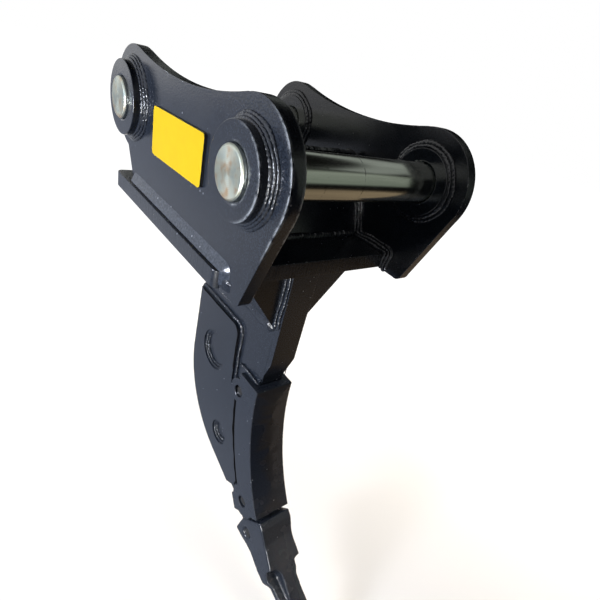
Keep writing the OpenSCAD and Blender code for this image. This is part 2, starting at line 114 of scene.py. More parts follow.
def add(tree, kind, inputs=None, **settings):
    """Adds a node, sets its properties, and sets or links its inputs by name or number."""
    node = tree.nodes.new(kind)
    for key, value in settings.items():
        setattr(node, key, value)
    for key, value in (inputs or {}).items():
        socket = node.inputs[key]
        if isinstance(value, bpy.types.NodeSocket):
            tree.links.new(value, socket)
        else:
            socket.default_value = value
    return node


def new_material(name):
    """An empty node material and its tree."""
    material = bpy.data.materials.new(name)
    material.use_nodes = True
    material.node_tree.nodes.clear()
    return material, material.node_tree


def close(tree, shader):
    """Links a finished shader to the material's output."""
    add(tree, "ShaderNodeOutputMaterial", {"Surface": shader.outputs[0]})


def per_mm(size):
    """Texture scale, in waves per metre, of a pattern whose marks are this many millimetres wide."""
    return 1 / (size * MM)


print("charcoal in linear light:", [round(v, 4) for v in srgb("#2B313B")])

# %% [markdown]
# ## White sky
# The picture has a white ground. A white world would also flood the dark paint with light, so the world is
# white only where the camera or a reflection looks at it, and gives just a trace of light to the faces.

# %% Sky
AMBIENT = 0.05


def seen_directly(tree):
    """One where a camera, glossy or transmission ray looks, and nought for the light that falls on things."""
    path = add(tree, "ShaderNodeLightPath")
    first = add(tree, "ShaderNodeMath", {
        0: path.outputs["Is Camera Ray"], 1: path.outputs["Is Glossy Ray"]}, operation="ADD")
    both = add(tree, "ShaderNodeMath", {
        0: first.outputs[0], 1: path.outputs["Is Transmission Ray"]}, operation="ADD", use_clamp=True)
    return both.outputs[0]


world = bpy.data.worlds.new("white_ground")
bpy.context.scene.world = world
world.use_nodes = True
sky = world.node_tree
sky.nodes.clear()
sky_light = add(sky, "ShaderNodeBackground", {"Color": srgb("#E6ECF5"), "Strength": AMBIENT})
sky_white = add(sky, "ShaderNodeBackground", {"Color": srgb("#FFFFFF"), "Strength": 1.0})
sky_mix = add(sky, "ShaderNodeMixShader", {
    0: seen_directly(sky), 1: sky_light.outputs[0], 2: sky_white.outputs[0]})
add(sky, "ShaderNodeOutputWorld", {"Surface": sky_mix.outputs[0]})
print("sky gives", AMBIENT, "of light")

# %% [markdown]
# ## Pale floor
# The ripper hangs a little above a pale painted floor. Far out the floor glows as white as the sky.
# Under the ripper most of it is plain paint, so that the soft shadow stays. Light that bounces from it is
# held down, because a white floor would fill the dark undersides.

# %% Floor
FLOOR_DROP = 60 * MM
FLOOR_HALF = 14.0
FLOOR_GLOW = 1.1
GLOW_NEAR = 0.35
FADE = (0.8, 2.2)
floor_z = cad_low.z - FLOOR_DROP

floor_material, tree = new_material("pale_studio_floor")
floor_paint = add(tree, "ShaderNodeBsdfDiffuse", {"Color": srgb("#F2F1EE")})
floor_glow = add(tree, "ShaderNodeEmission", {"Color": srgb("#FFFFFF"), "Strength": FLOOR_GLOW})
spot = add(tree, "ShaderNodeTexCoord").outputs["Object"]
from_middle = add(tree, "ShaderNodeVectorMath", {0: spot, 1: (0, 0, floor_z)}, operation="DISTANCE")
fade = add(tree, "ShaderNodeMapRange", {
    "Value": from_middle.outputs["Value"], "From Min": FADE[0], "From Max": FADE[1],
    "To Min": GLOW_NEAR, "To Max": 1.0})
floor_white = add(tree, "ShaderNodeMixShader", {
    0: fade.outputs[0], 1: floor_paint.outputs[0], 2: floor_glow.outputs[0]})
floor_dim = add(tree, "ShaderNodeBsdfDiffuse", {"Color": srgb("#55565A")})
floor_mix = add(tree, "ShaderNodeMixShader", {
    0: seen_directly(tree), 1: floor_dim.outputs[0], 2: floor_white.outputs[0]})
close(tree, floor_mix)


def studio_card(name, low, high, material, shown=False):
    """A flat rectangle between two opposite corners that share one coordinate, and no part of the ripper."""
    flat = [k for k in range(3) if low[k] == high[k]][0]
    u, v = [k for k in range(3) if k != flat]
    corners = []
    for side_u, side_v in ((low, low), (high, low), (high, high), (low, high)):
        corner = list(low)
        corner[u] = side_u[u]
        corner[v] = side_v[v]
        corners.append(corner)
    mesh = bpy.data.meshes.new(name)
    mesh.from_pydata(corners, [], [(0, 1, 2, 3)])
    mesh.materials.append(material)
    card = bpy.data.objects.new(name, mesh)
    card.visible_camera = shown
    card.visible_shadow = shown
    card.visible_diffuse = shown
    bpy.context.scene.collection.objects.link(card)
    return card


studio_card("floor", (-FLOOR_HALF, -FLOOR_HALF, floor_z), (FLOOR_HALF, FLOOR_HALF, floor_z),
            floor_material, shown=True)
print("floor at", round(floor_z, 3))

# %% [markdown]
# ## Cards for the reflections
# Glossy paint shows what stands round it more than its own colour. The reflections tell of a yard: pale open
# ground to the left, brown earth in front, and dark things to the right and above. Cards that only
# reflections see stand for these, as flags and boards do in a photographer's studio.

# %% Tones of the cards
def card_material(name, axis, stops, mottle_mm):
    """A glowing card whose tone runs along one axis, given as (metres, colour) stops, with soft mottling."""
    material, tree = new_material(name)
    spot = add(tree, "ShaderNodeTexCoord").outputs["Object"]
    mottle = add(tree, "ShaderNodeTexNoise", {"Vector": spot, "Scale": per_mm(mottle_mm), "Detail": 3.0})
    split = add(tree, "ShaderNodeSeparateXYZ", {0: spot})
    first, last = stops[0][0], stops[-1][0]
    along = add(tree, "ShaderNodeMapRange", {
        "Value": split.outputs[axis], "From Min": first, "From Max": last})
    tone = add(tree, "ShaderNodeValToRGB", {"Fac": along.outputs[0]})
    ramp = tone.color_ramp.elements
    while len(ramp) < len(stops):
        ramp.new(0.5)
    for stop, (where, code) in zip(ramp, stops):
        stop.position = (where - first) / (last - first)
        stop.color = srgb(code)
    patchy = add(tree, "ShaderNodeMapRange", {
        "Value": mottle.outputs[0], "From Min": 0.35, "From Max": 0.65, "To Min": 0.8, "To Max": 1.0})
    close(tree, add(tree, "ShaderNodeEmission", {"Color": tone.outputs[0], "Strength": patchy.outputs[0]}))
    return material


upright = card_material("dark_upright_card", 2, [
    (floor_z, "#7A6A58"), (-1.0, "#6E6050"), (-0.88, "#171412"), (-0.35, "#0C0C0D"),
    (-0.1, "#8F978D"), (1.1, "#A9B0A6"), (1.6, "#30322F"), (2.6, "#141414")], 700)
near_upright = card_material("dark_near_upright_card", 2, [(floor_z, "#353844"), (-0.3, "#15161A")], 700)
high_up = card_material("dim_high_card", 2, [
    (floor_z, "#15130F"), (1.3, "#0C0C0D"), (1.55, "#A3A8A4"),
    (2.0, "#AEB3AF"), (2.2, "#141414"), (2.6, "#0C0C0D")], 700)
under_stops = [(-0.6, "#6E6156"), (-0.07, "#6E6156"), (-0.03, "#262932"), (0.35, "#2E313B")]
near_ground = card_material("dark_near_floor_card", 0, [*under_stops, (1.3, "#353844")], 420)
middle_ground = card_material("half_dark_floor_card", 0, [
    *under_stops, (0.5, "#8A7863"), (1.3, "#93806A")], 420)
far_ground = card_material("brown_far_floor_card", 1, [
    (0.55, "#8A7863"), (0.8, "#93806A"), (2.0, "#A8937A"), (2.4, "#4A4138")], 420)
yard = card_material("pale_yard_card", 0, [
    (-9.0, "#B9BECA"), (-4.0, "#BDC2CE"), (-1.9, "#D8DBE2"),
    (-1.2, "#C0C5D0"), (-0.7, "#ADB4C2"), (0.3, "#B4BBCA")], 900)
roof = card_material("dark_roof_card", 0, [(-7.0, "#0B0B0C"), (2.5, "#0E0D0C")], 900)
print("card tones:", len([m for m in bpy.data.materials if m.name.endswith("_card")]))

# %% [markdown]
# ## Where the cards stand
# Each place was found by following a ray from the camera to a face and on to where its mirror image lies.
# The left facet of the protector looks at the near strip of ground, its right facet at the far one, and
# that difference draws the ridge between them. The gap flag is the only card that throws a shadow: it keeps
# the small glint lamp from shining in between the ears.

# %% Cards
FRONT_X = 1.3
FRONT_SPLIT_Y = 0.3
RIGHT_Y = 2.2
ROOF_Z = 2.6
GROUND_REAR_X = -0.6
YARD_REACH = -9.0
YARD_FRONT_X = 0.3
STRIPS = (-0.05, 0.26, 0.55, RIGHT_Y)
FLAG_Y = -0.205
ground_z = floor_z + 5 * MM

studio_card("front_card", (FRONT_X, FRONT_SPLIT_Y, floor_z), (FRONT_X, 3.0, ROOF_Z), upright)
studio_card("near_front_card", (FRONT_X, -0.6, floor_z), (FRONT_X, FRONT_SPLIT_Y, -0.3), near_upright)
studio_card("right_card", (-8.0, RIGHT_Y, floor_z), (FRONT_X, RIGHT_Y, ROOF_Z), high_up)
grounds = (("near_floor_card", near_ground), ("middle_floor_card", middle_ground),
           ("far_floor_card", far_ground))
for (name, material), y_from, y_to in zip(grounds, STRIPS[:-1], STRIPS[1:]):
    studio_card(name, (GROUND_REAR_X, y_from, ground_z), (FRONT_X, y_to, ground_z), material)
studio_card("yard_card", (YARD_REACH, YARD_REACH, ground_z), (YARD_FRONT_X, STRIPS[0], ground_z), yard)
studio_card("roof_card", (-7.0, -1.0, ROOF_Z), (2.5, 5.0, ROOF_Z), roof)
gap_flag = studio_card("gap_flag", (0.115, FLAG_Y, -0.3), (0.6, FLAG_Y, 0.2), roof)
gap_flag.visible_shadow = True

# %% [markdown]
# ## Lamps
# The light comes low from the left, as through a wide door, so the left faces are grey and the faces to the
# front and top stay nearly black. A faint warm lamp is the light that earth throws up at the tip. Two wide
# fills keep the right and rear sides readable. These three give no mirror image, and the small glint lamp
# gives nothing else: it only sparkles on weld ripples and rounded edges.

# %% Lamps
AIM = (-0.15, 0, -0.5)


def area_lamp(name, at, to, size, watts, colour):
    """A soft rectangular lamp that looks from one point to another."""
    light = bpy.data.lights.new(name, "AREA")
    light.shape = "RECTANGLE"
    light.size, light.size_y = size
    light.energy = watts
    light.color = srgb(colour)[:3]
    lamp = bpy.data.objects.new(name, light)
    lamp.location = at
    lamp.rotation_mode = "QUATERNION"
    lamp.rotation_quaternion = (Vector(to) - Vector(at)).to_track_quat("-Z", "Z")
    bpy.context.scene.collection.objects.link(lamp)
    return lamp


area_lamp("door_light", (-0.25, -2.6, -0.15), (-0.15, 0, -0.4), (0.6, 0.3), 82, "#EAF0FF")
bounce = area_lamp("ground_bounce", (0.6, 0.2, -0.75), (0.15, 0, -1.05), (0.2, 0.2), 0.4, "#FFE9D0")
bounce.data.spread = math.radians(60)
bounce.visible_glossy = False
glint = area_lamp("sun_glint", (1.2, -2.1, -0.6), (0.0, -0.2, 0.0), (0.5, 0.5), 62, "#FFFFFF")
glint.visible_diffuse = False
for name, at in (("right_fill", (0.0, 2.6, -0.4)), ("rear_fill", (-2.8, 0.2, -0.3))):
    fill = area_lamp(name, at, AIM, (1.5, 1.0), 110, "#FFF4E8")
    fill.visible_glossy = False

# %% [markdown]
# ## Charcoal enamel
# The hanger and the shank are welded from rolled steel plate and sprayed with a dark grey machine enamel.
# Sprayed enamel is glossy but not flat: it has an orange peel of one or two millimetres, and dust that
# settled in the wet coat shows as pale specks. One recipe serves plate, flame-cut edge, weld and casting,
# with a gloss and a peel for each. The peel is drawn three or four millimetres wide, because a finer one
# would vanish between the pixels.

# %% Dust, rubbed edges and a painted edge highlight
WORN_LIT_AT = (96 * MM, -223 * MM, 5 * MM)
WORN_LIT_REACH = (70 * MM, 120 * MM)
DUST_SPACING_MM = 12
DUST_SHARE = 0.93


def dust_specks(tree, place):
    """A mask of rare pale specks, about three millimetres wide."""
    dust = add(tree, "ShaderNodeTexVoronoi", {"Vector": place, "Scale": per_mm(DUST_SPACING_MM)})
    speck = add(tree, "ShaderNodeMapRange", {
        "Value": dust.outputs["Distance"], "From Min": 0.16, "From Max": 0.09})
    chance = add(tree, "ShaderNodeSeparateColor", {0: dust.outputs["Color"]})
    rare = add(tree, "ShaderNodeMath", {0: chance.outputs[0], 1: DUST_SHARE}, operation="GREATER_THAN")
    specks = add(tree, "ShaderNodeMath", {0: speck.outputs[0], 1: rare.outputs[0]}, operation="MULTIPLY")
    return specks.outputs[0]


def worn_lit_edges(tree, place, rub):
    """Pale edges: rubbed on rounded edges, wide at the left ear's front edge as wear and painted highlight.
    """
    strip = add(tree, "ShaderNodeAttribute", attribute_name="edge_strip")
    scuff = add(tree, "ShaderNodeTexNoise", {"Vector": place, "Scale": per_mm(16), "Detail": 6.0})
    worn = add(tree, "ShaderNodeMapRange", {
        "Value": scuff.outputs[0], "From Min": 0.72 - 0.2 * rub, "From Max": 0.86 - 0.2 * rub})
    thin = add(tree, "ShaderNodeMath", {0: worn.outputs[0], 1: strip.outputs["Fac"]}, operation="MULTIPLY")
    # Near this point the pale band widens along the left ear's front edge: worn paint and a painted
    # highlight.
    away = add(tree, "ShaderNodeVectorMath", {0: place, 1: WORN_LIT_AT}, operation="DISTANCE")
    near = add(tree, "ShaderNodeMapRange", {
        "Value": away.outputs["Value"], "From Min": WORN_LIT_REACH[0], "From Max": WORN_LIT_REACH[1],
        "To Min": 1.0, "To Max": 0.0})
    rounded = add(tree, "ShaderNodeBevel", {"Radius": 9 * MM}, samples=6)
    flat = add(tree, "ShaderNodeNewGeometry")
    turned = add(tree, "ShaderNodeVectorMath", {
        0: rounded.outputs[0], 1: flat.outputs["Normal"]}, operation="DOT_PRODUCT")
    rim = add(tree, "ShaderNodeMapRange", {
        "Value": turned.outputs["Value"], "From Min": 0.995, "From Max": 0.9})
    chips = add(tree, "ShaderNodeMapRange", {"Value": scuff.outputs[0], "From Min": 0.36, "From Max": 0.54})
    at_edge = add(tree, "ShaderNodeMath", {0: near.outputs[0], 1: rim.outputs[0]}, operation="MULTIPLY")
    wide = add(tree, "ShaderNodeMath", {0: at_edge.outputs[0], 1: chips.outputs[0]}, operation="MULTIPLY")
    mask = add(tree, "ShaderNodeMath", {0: thin.outputs[0], 1: wide.outputs[0]}, operation="MAXIMUM")
    return mask.outputs[0]


print("edges are rubbed within", round(WORN_LIT_REACH[1] / MM), "mm of", [round(v / MM) for v in WORN_LIT_AT])

# %% [markdown]
# ## One enamel for plate, edge, weld and casting
# The colour wavers between two close greys with the peel, the gloss wavers in patches as wide as a hand, and
# a flame-cut edge adds fine lines across the plate where the torch dragged. The eye reads a thick wet coat
# that was sprayed over steel with its scale and ripples still on it.

# %% Enamel
ENAMEL = "#2B313B"
ENAMEL_DEEP = "#1B2028"
DUST = "#8C9097"
WORN_LIT = "#B9BDBE"
ACROSS_Y = (1.0, 0.06, 1.0)
ACROSS_Z = (1.0, 1.0, 0.06)


def enamel(name, gloss, peel_mm, peel_bump=0.5, grain=None, grain_bump=0.3, rub=0.0,
           coat=(ENAMEL_DEEP, ENAMEL)):
    """Sprayed enamel. grain stretches a second bump, as the drag lines of a flame-cut edge do."""
    material, tree = new_material(name)
    place = add(tree, "ShaderNodeTexCoord").outputs["Object"]
    patches = add(tree, "ShaderNodeTexNoise", {"Vector": place, "Scale": per_mm(70), "Detail": 3.0})
    peel = add(tree, "ShaderNodeTexNoise", {"Vector": place, "Scale": per_mm(peel_mm), "Detail": 2.0})
    grit = add(tree, "ShaderNodeMapRange", {"Value": peel.outputs[0], "From Min": 0.3, "From Max": 0.7})
    paint = add(tree, "ShaderNodeMix", {
        0: grit.outputs[0], 6: srgb(coat[0]), 7: srgb(coat[1])}, data_type="RGBA")
    colour = add(tree, "ShaderNodeMix", {
        0: dust_specks(tree, place), 6: paint.outputs[2], 7: srgb(DUST)}, data_type="RGBA")
    if rub:
        colour = add(tree, "ShaderNodeMix", {
            0: worn_lit_edges(tree, place, rub), 6: colour.outputs[2], 7: srgb(WORN_LIT)}, data_type="RGBA")
    rough = add(tree, "ShaderNodeMapRange", {
        "Value": patches.outputs[0], "From Min": 0.3, "From Max": 0.7,
        "To Min": gloss - 0.05, "To Max": gloss + 0.07})
    bump = add(tree, "ShaderNodeBump", {
        "Height": peel.outputs[0], "Strength": peel_bump, "Distance": 0.5 * MM})
    if grain:
        drawn = add(tree, "ShaderNodeMapping", {"Vector": place, "Scale": grain})
        lines = add(tree, "ShaderNodeTexNoise", {
            "Vector": drawn.outputs[0], "Scale": per_mm(4), "Detail": 3.0})
        bump = add(tree, "ShaderNodeBump", {
            "Height": lines.outputs[0], "Strength": grain_bump, "Distance": 1.2 * MM,
            "Normal": bump.outputs[0]})
    close(tree, add(tree, "ShaderNodeBsdfPrincipled", {
        "Base Color": colour.outputs[2], "Roughness": rough.outputs[0], "Specular IOR Level": 0.5,
        "Normal": bump.outputs[0]}))
    return material


plate_paint = enamel("charcoal_enamel_on_rolled_plate", 0.16, 3.0, rub=0.6)
cut_paint_y = enamel("charcoal_enamel_on_flame_cut_edge", 0.20, 3.0, grain=ACROSS_Y, grain_bump=0.15, rub=0.6)
cut_paint_z = enamel("charcoal_enamel_on_flame_cut_base_edge", 0.20, 3.0, grain=ACROSS_Z, grain_bump=0.6,
                     rub=0.4)
weld_paint = enamel("charcoal_enamel_on_weld", 0.15, 4.0, peel_bump=1.6)
# The weld on the ledge faces up and out, and its coat is painted paler and bluer, as a painted sheen.
sheen_ledge_paint = enamel("charcoal_enamel_on_ledge_weld_with_painted_sheen", 0.17, 4.0, peel_bump=0.7,
                     coat=("#30363F", "#4C535E"))
# The castings come from sand, so their coat is duller and softer than on plate.
cast_paint = enamel("charcoal_enamel_on_casting", 0.25, 4.0, peel_bump=0.25, rub=0.5,
                    coat=("#20252E", "#2A303A"))
print("enamels:", len([m for m in bpy.data.materials if "charcoal_enamel" in m.name]))

# %% [markdown]
# ## Zinc on the pin ends
# The hinge pins are turned from bar. Their ends keep the rings of the lathe tool under a thin zinc plating,
# whose passivation shimmers from green to orange. Real tool marks lie about 0.3 mm apart. They are drawn at
# 2.6 mm so that they show, and a radial tangent bends the highlight into the bow-tie of a turned face.

# %% Pin ends
RING_MM = 2.6
WAVE_TURNS = 2 * math.pi / 20
SHIMMER = ((0.34, "#A9B6B4"), (0.5, "#C6CBBD"), (0.66, "#B89E80"))


def pin_end(name, axis_x, axis_z):
    """The zinc-plated end of a pin, with lathe rings about its own axis along Y."""
    material, tree = new_material(name)
    place = add(tree, "ShaderNodeTexCoord").outputs["Object"]
    centred = add(tree, "ShaderNodeMapping", {"Vector": place, "Location": (-axis_x, 0, -axis_z)})
    rings = add(tree, "ShaderNodeTexWave", {
        "Vector": centred.outputs[0], "Scale": per_mm(RING_MM) * WAVE_TURNS, "Distortion": 1.6,
        "Detail": 3.0, "Detail Scale": 2.0}, wave_type="RINGS", rings_direction="Y")
    shimmer = add(tree, "ShaderNodeTexNoise", {
        "Vector": place, "Scale": per_mm(24), "Detail": 6.0, "Roughness": 0.65})
    tint = add(tree, "ShaderNodeValToRGB", {"Fac": shimmer.outputs[0]})
    ramp = tint.color_ramp.elements
    ramp.new(0.5)
    for stop, (where, code) in zip(ramp, SHIMMER):
        stop.position = where
        stop.color = srgb(code)
    streak = add(tree, "ShaderNodeMapRange", {"Value": rings.outputs["Fac"], "To Min": 0.66, "To Max": 1.0})
    ringed = add(tree, "ShaderNodeMix", {
        0: 1.0, 6: tint.outputs[0], 7: streak.outputs[0]}, data_type="RGBA", blend_type="MULTIPLY")
    rough = add(tree, "ShaderNodeMapRange", {"Value": rings.outputs["Fac"], "To Min": 0.30, "To Max": 0.42})
    bump = add(tree, "ShaderNodeBump", {
        "Height": rings.outputs["Fac"], "Strength": 0.35, "Distance": 0.25 * MM})
    round_about = add(tree, "ShaderNodeTangent", direction_type="RADIAL", axis="Y")
    close(tree, add(tree, "ShaderNodeBsdfPrincipled", {
        "Base Color": ringed.outputs[2], "Metallic": 1.0, "Roughness": rough.outputs[0], "Anisotropic": 0.45,
        "Tangent": round_about.outputs[0], "Normal": bump.outputs[0]}))
    return material


link_low, link_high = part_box("link_pin")
link_axis = (link_low + link_high) / 2
arm_end = pin_end("zinc_plated_turned_arm_pin_end", 0, 0)
link_end = pin_end("zinc_plated_turned_link_pin_end", link_axis.x, link_axis.z)
print("link pin axis at", round(link_axis.x / MM), round(link_axis.z / MM), "mm")

# %% [markdown]
# ## Ground steel on the pin barrels
# Between the ears the pin is a bearing face, ground and polished, so it mirrors the yard in long bands. Fine
# streaks run along it, and a few score rings show where a bush or a shim has turned on it.

# %% Pin barrels
SCORES_MM = (-98, -12, 128)
ALONG_PIN = (1.0, 0.04, 1.0)

barrel_steel, tree = new_material("ground_and_polished_pin_steel")
place = add(tree, "ShaderNodeTexCoord").outputs["Object"]
smear = add(tree, "ShaderNodeMapping", {"Vector": place, "Scale": ALONG_PIN})
drawn = add(tree, "ShaderNodeTexNoise", {"Vector": smear.outputs[0], "Scale": per_mm(7), "Detail": 5.0})
tone = add(tree, "ShaderNodeMix", {
    0: drawn.outputs[0], 6: srgb("#AEB2A8"), 7: srgb("#D2D5CC")}, data_type="RGBA")
rough = add(tree, "ShaderNodeMapRange", {"Value": drawn.outputs[0], "To Min": 0.10, "To Max": 0.22})
waved = add(tree, "ShaderNodeMapping", {"Vector": place, "Scale": (0.5, 1.0, 0.5)})
waves = add(tree, "ShaderNodeTexNoise", {"Vector": waved.outputs[0], "Scale": per_mm(30), "Detail": 2.0})
fine = add(tree, "ShaderNodeBump", {"Height": waves.outputs[0], "Strength": 0.03, "Distance": 0.3 * MM})
split = add(tree, "ShaderNodeSeparateXYZ", {0: place})
score_mask = 0.0
for score in SCORES_MM:
    off = add(tree, "ShaderNodeMath", {0: split.outputs[1], 1: score * MM}, operation="SUBTRACT")
    apart = add(tree, "ShaderNodeMath", {0: off.outputs[0]}, operation="ABSOLUTE")
    line = add(tree, "ShaderNodeMapRange", {
        "Value": apart.outputs[0], "From Min": 1.0 * MM, "From Max": 0.5 * MM})
    joined = add(tree, "ShaderNodeMath", {0: line.outputs[0], 1: score_mask}, operation="MAXIMUM")
    score_mask = joined.outputs[0]
broken = add(tree, "ShaderNodeMapRange", {
    "Value": drawn.outputs[0], "From Min": 0.4, "From Max": 0.55, "To Max": 0.75})
cut_in = add(tree, "ShaderNodeMath", {0: score_mask, 1: broken.outputs[0]}, operation="MULTIPLY")
scored = add(tree, "ShaderNodeMix", {
    0: cut_in.outputs[0], 6: tone.outputs[2], 7: srgb("#3A3A36")}, data_type="RGBA")
close(tree, add(tree, "ShaderNodeBsdfPrincipled", {
    "Base Color": scored.outputs[2], "Metallic": 1.0, "Roughness": rough.outputs[0],
    "Normal": fine.outputs[0]}))
print("score rings:", len(SCORES_MM))

# %% [markdown]
# ## Dull steel of the retaining pins
# The small pins that hold the protector and the tip are plain steel, grey with grease and grit. The grime
# that colours them also pits them, so one noise does both.

# %% Retaining pins
retainer, tree = new_material("dull_retaining_pin_steel")
place = add(tree, "ShaderNodeTexCoord").outputs["Object"]
grime = add(tree, "ShaderNodeTexNoise", {"Vector": place, "Scale": per_mm(6), "Detail": 4.0})
shade = add(tree, "ShaderNodeMix", {
    0: grime.outputs[0], 6: srgb("#141414"), 7: srgb("#4A4947")}, data_type="RGBA")
pits = add(tree, "ShaderNodeBump", {"Height": grime.outputs[0], "Strength": 0.4, "Distance": 0.5 * MM})
close(tree, add(tree, "ShaderNodeBsdfPrincipled", {
    "Base Color": shade.outputs[2], "Metallic": 0.6, "Roughness": 0.55, "Normal": pits.outputs[0]}))
print("made", retainer.name)

# %% [markdown]
# ## Yellow enamel
# The raised plate on the left ear is sheet steel in a satin yellow enamel. Its edge is black, a painted
# shade.
# It stays bare. The yellow is cloudy where the coat is thin, and its low gloss keeps the colour full.

# %% Yellow plate
yellow_paint, tree = new_material("yellow_enamel_on_sheet")
place = add(tree, "ShaderNodeTexCoord").outputs["Object"]
clouds = add(tree, "ShaderNodeTexNoise", {"Vector": place, "Scale": per_mm(30), "Detail": 4.0})
cloudy = add(tree, "ShaderNodeMix", {
    0: clouds.outputs[0], 6: srgb("#E9BF00"), 7: srgb("#F3CB00")}, data_type="RGBA")
peel = add(tree, "ShaderNodeTexNoise", {"Vector": place, "Scale": per_mm(2), "Detail": 1.0})
skin = add(tree, "ShaderNodeBump", {"Height": peel.outputs[0], "Strength": 0.12, "Distance": 0.3 * MM})
close(tree, add(tree, "ShaderNodeBsdfPrincipled", {
    "Base Color": cloudy.outputs[2], "Roughness": 0.42, "Specular IOR Level": 0.25,
    "Normal": skin.outputs[0]}))

# The black edge of the yellow plate is painted shade on its thin rim.
shaded_sheet_edge, tree = new_material("black_painted_shade_on_sheet_edge")
place = add(tree, "ShaderNodeTexCoord").outputs["Object"]
grain = add(tree, "ShaderNodeTexNoise", {"Vector": place, "Scale": per_mm(3), "Detail": 2.0})
rough = add(tree, "ShaderNodeMapRange", {"Value": grain.outputs[0], "To Min": 0.3, "To Max": 0.5})
close(tree, add(tree, "ShaderNodeBsdfPrincipled", {
    "Base Color": srgb("#121212"), "Roughness": rough.outputs[0]}))
print("materials:", len(bpy.data.materials))

# %% [markdown]
# ## Rounding the edges
# A cut plate or a casting never has a knife edge, and the thin highlight along its rounded edge tells the
# eye that it is thick steel. A copy of each solid is cleaned to whole faces, and its sharp edges are
# bevelled by a real radius. The bevel strips are marked, so that the enamel can be rubbed there. Weighted
# normals keep the large faces flat.

# %% Edge rounder
SHARP = math.radians(32)
WELD_TOGETHER = 0.005 * MM
WHOLE_FACE = math.radians(0.4)


def dressed(node, radius_mm, steps, face_material, rim_material=None, thickness_axis=1, crease=SHARP):
    """A copy of a node with rounded edges. Its rim, round the thickness axis, may take its own material."""
    mesh = bpy.data.meshes.new(node + "_dressed")
    shape = bmesh.new()
    shape.from_mesh(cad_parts[node].data)
    mark = shape.faces.layers.float.new("edge_strip")
    bmesh.ops.remove_doubles(shape, verts=shape.verts, dist=WELD_TOGETHER)
    bmesh.ops.dissolve_limit(shape, angle_limit=WHOLE_FACE, verts=shape.verts, edges=shape.edges)
    sharp = [e for e in shape.edges if len(e.link_faces) == 2 and e.calc_face_angle() > SHARP]
    strips = bmesh.ops.bevel(shape, geom=sharp, offset=radius_mm * MM, offset_type="OFFSET", segments=steps,
                             profile=0.5, affect="EDGES", clamp_overlap=True)["faces"]
    for face in strips:
        face[mark] = 1.0
    for face in shape.faces:
        face.smooth = True
        face.normal_update()
        rim = abs(face.normal[thickness_axis]) < 0.5
        face.material_index = 1 if rim and rim_material else 0
    shape.to_mesh(mesh)
    shape.free()
    mesh.set_sharp_from_angle(angle=crease)
    mesh.materials.append(face_material)
    if rim_material:
        mesh.materials.append(rim_material)
    piece = bpy.data.objects.new(node + "_dressed", mesh)
    bpy.context.scene.collection.objects.link(piece)
    even = piece.modifiers.new("flat_faces", "WEIGHTED_NORMAL")
    even.keep_sharp = True
    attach(piece, "root")
    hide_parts(node)
    return piece


print("edges sharper than", round(math.degrees(SHARP)), "degrees are rounded")

# %% [markdown]
# ## Plates and bosses
# Flame-cut plate is ground just enough to hold paint, about a millimetre at each edge. The rims of the ears,
# the shank, the cheek plates and the base plate are cut faces, so they get the drag lines.

# %% Dressed plates
for node in ("left_ear", "right_ear", "shank", "left_cheek_plate", "right_cheek_plate"):
    dressed(node, 1.3, 2, plate_paint, cut_paint_y)
for node in ("front_cross_plate", "rear_cross_plate"):
    dressed(node, 1.0, 2, plate_paint)
dressed("base_plate", 1.6, 2, plate_paint, cut_paint_z, thickness_axis=2)
for node in ("left_brace", "right_brace", "front_gussets", "rear_gussets"):
    dressed(node, 1.0, 2, plate_paint)
for node in ("left_arm_boss", "right_arm_boss", "left_link_boss", "right_link_boss"):
    dressed(node, 1.5, 3, plate_paint)

# %% [markdown]
# ## Castings
# The protector and the tip are poured in sand, so their edges are rounder than those of plate. The protector
# keeps the crease of its ridge. The tip is softer still: a fine voxel remesh and a little smoothing melt its
# edges and scallops together, as a pattern maker's fillets do.

# %% Dressed castings
TIP_VOXEL = 2 * MM
TIP_SMOOTHING = 22

dressed("shank_protector", 4.0, 4, cast_paint, crease=math.radians(14))
tip = dressed("tooth_tip", 2.0, 2, cast_paint)
tip.modifiers.clear()
soften = tip.modifiers.new("cast_skin", "REMESH")
soften.mode = "VOXEL"
soften.voxel_size = TIP_VOXEL
soften.use_smooth_shade = True
relax = tip.modifiers.new("cast_rounds", "SMOOTH")
relax.factor = 0.5
relax.iterations = TIP_SMOOTHING
print("tip voxels of", round(TIP_VOXEL / MM, 1), "mm")

# %% [markdown]
# ## Pins and the yellow plate
# The hinge pins are turned, with a small chamfer, and their ends and barrels are two finishes on one piece.
# The retaining pins are stubs of plain bar. The yellow plate is thin sheet whose edge is painted shade.

# %% Dressed pins
dressed("arm_pin", 0.8, 2, arm_end, barrel_steel)
dressed("link_pin", 0.8, 2, link_end, barrel_steel)
for node in ("protector_pins", "tip_pin"):
    dressed(node, 1.5, 2, retainer)
dressed("name_plate", 0.6, 2, yellow_paint, shaded_sheet_edge)

# %% [markdown]
# ## Weld beads
# Every joint of the ripper is closed by arc welds, laid in one to three passes. Each pass is a low dome with
# crescent ripples where the pool froze. A bead follows a path along the corner of two faces: the section
# runs from a point out on the first face to a point up the second, one dome for each pass. Real geometry is
# used, not a bump, because the ripples catch the light in separate glints.

# %% Bead sections
RING_STEP = 1.5 * MM
STEPS_PER_PASS = 6
LANE_DRIFT = 0.07
TOE_DRIFT = 0.14


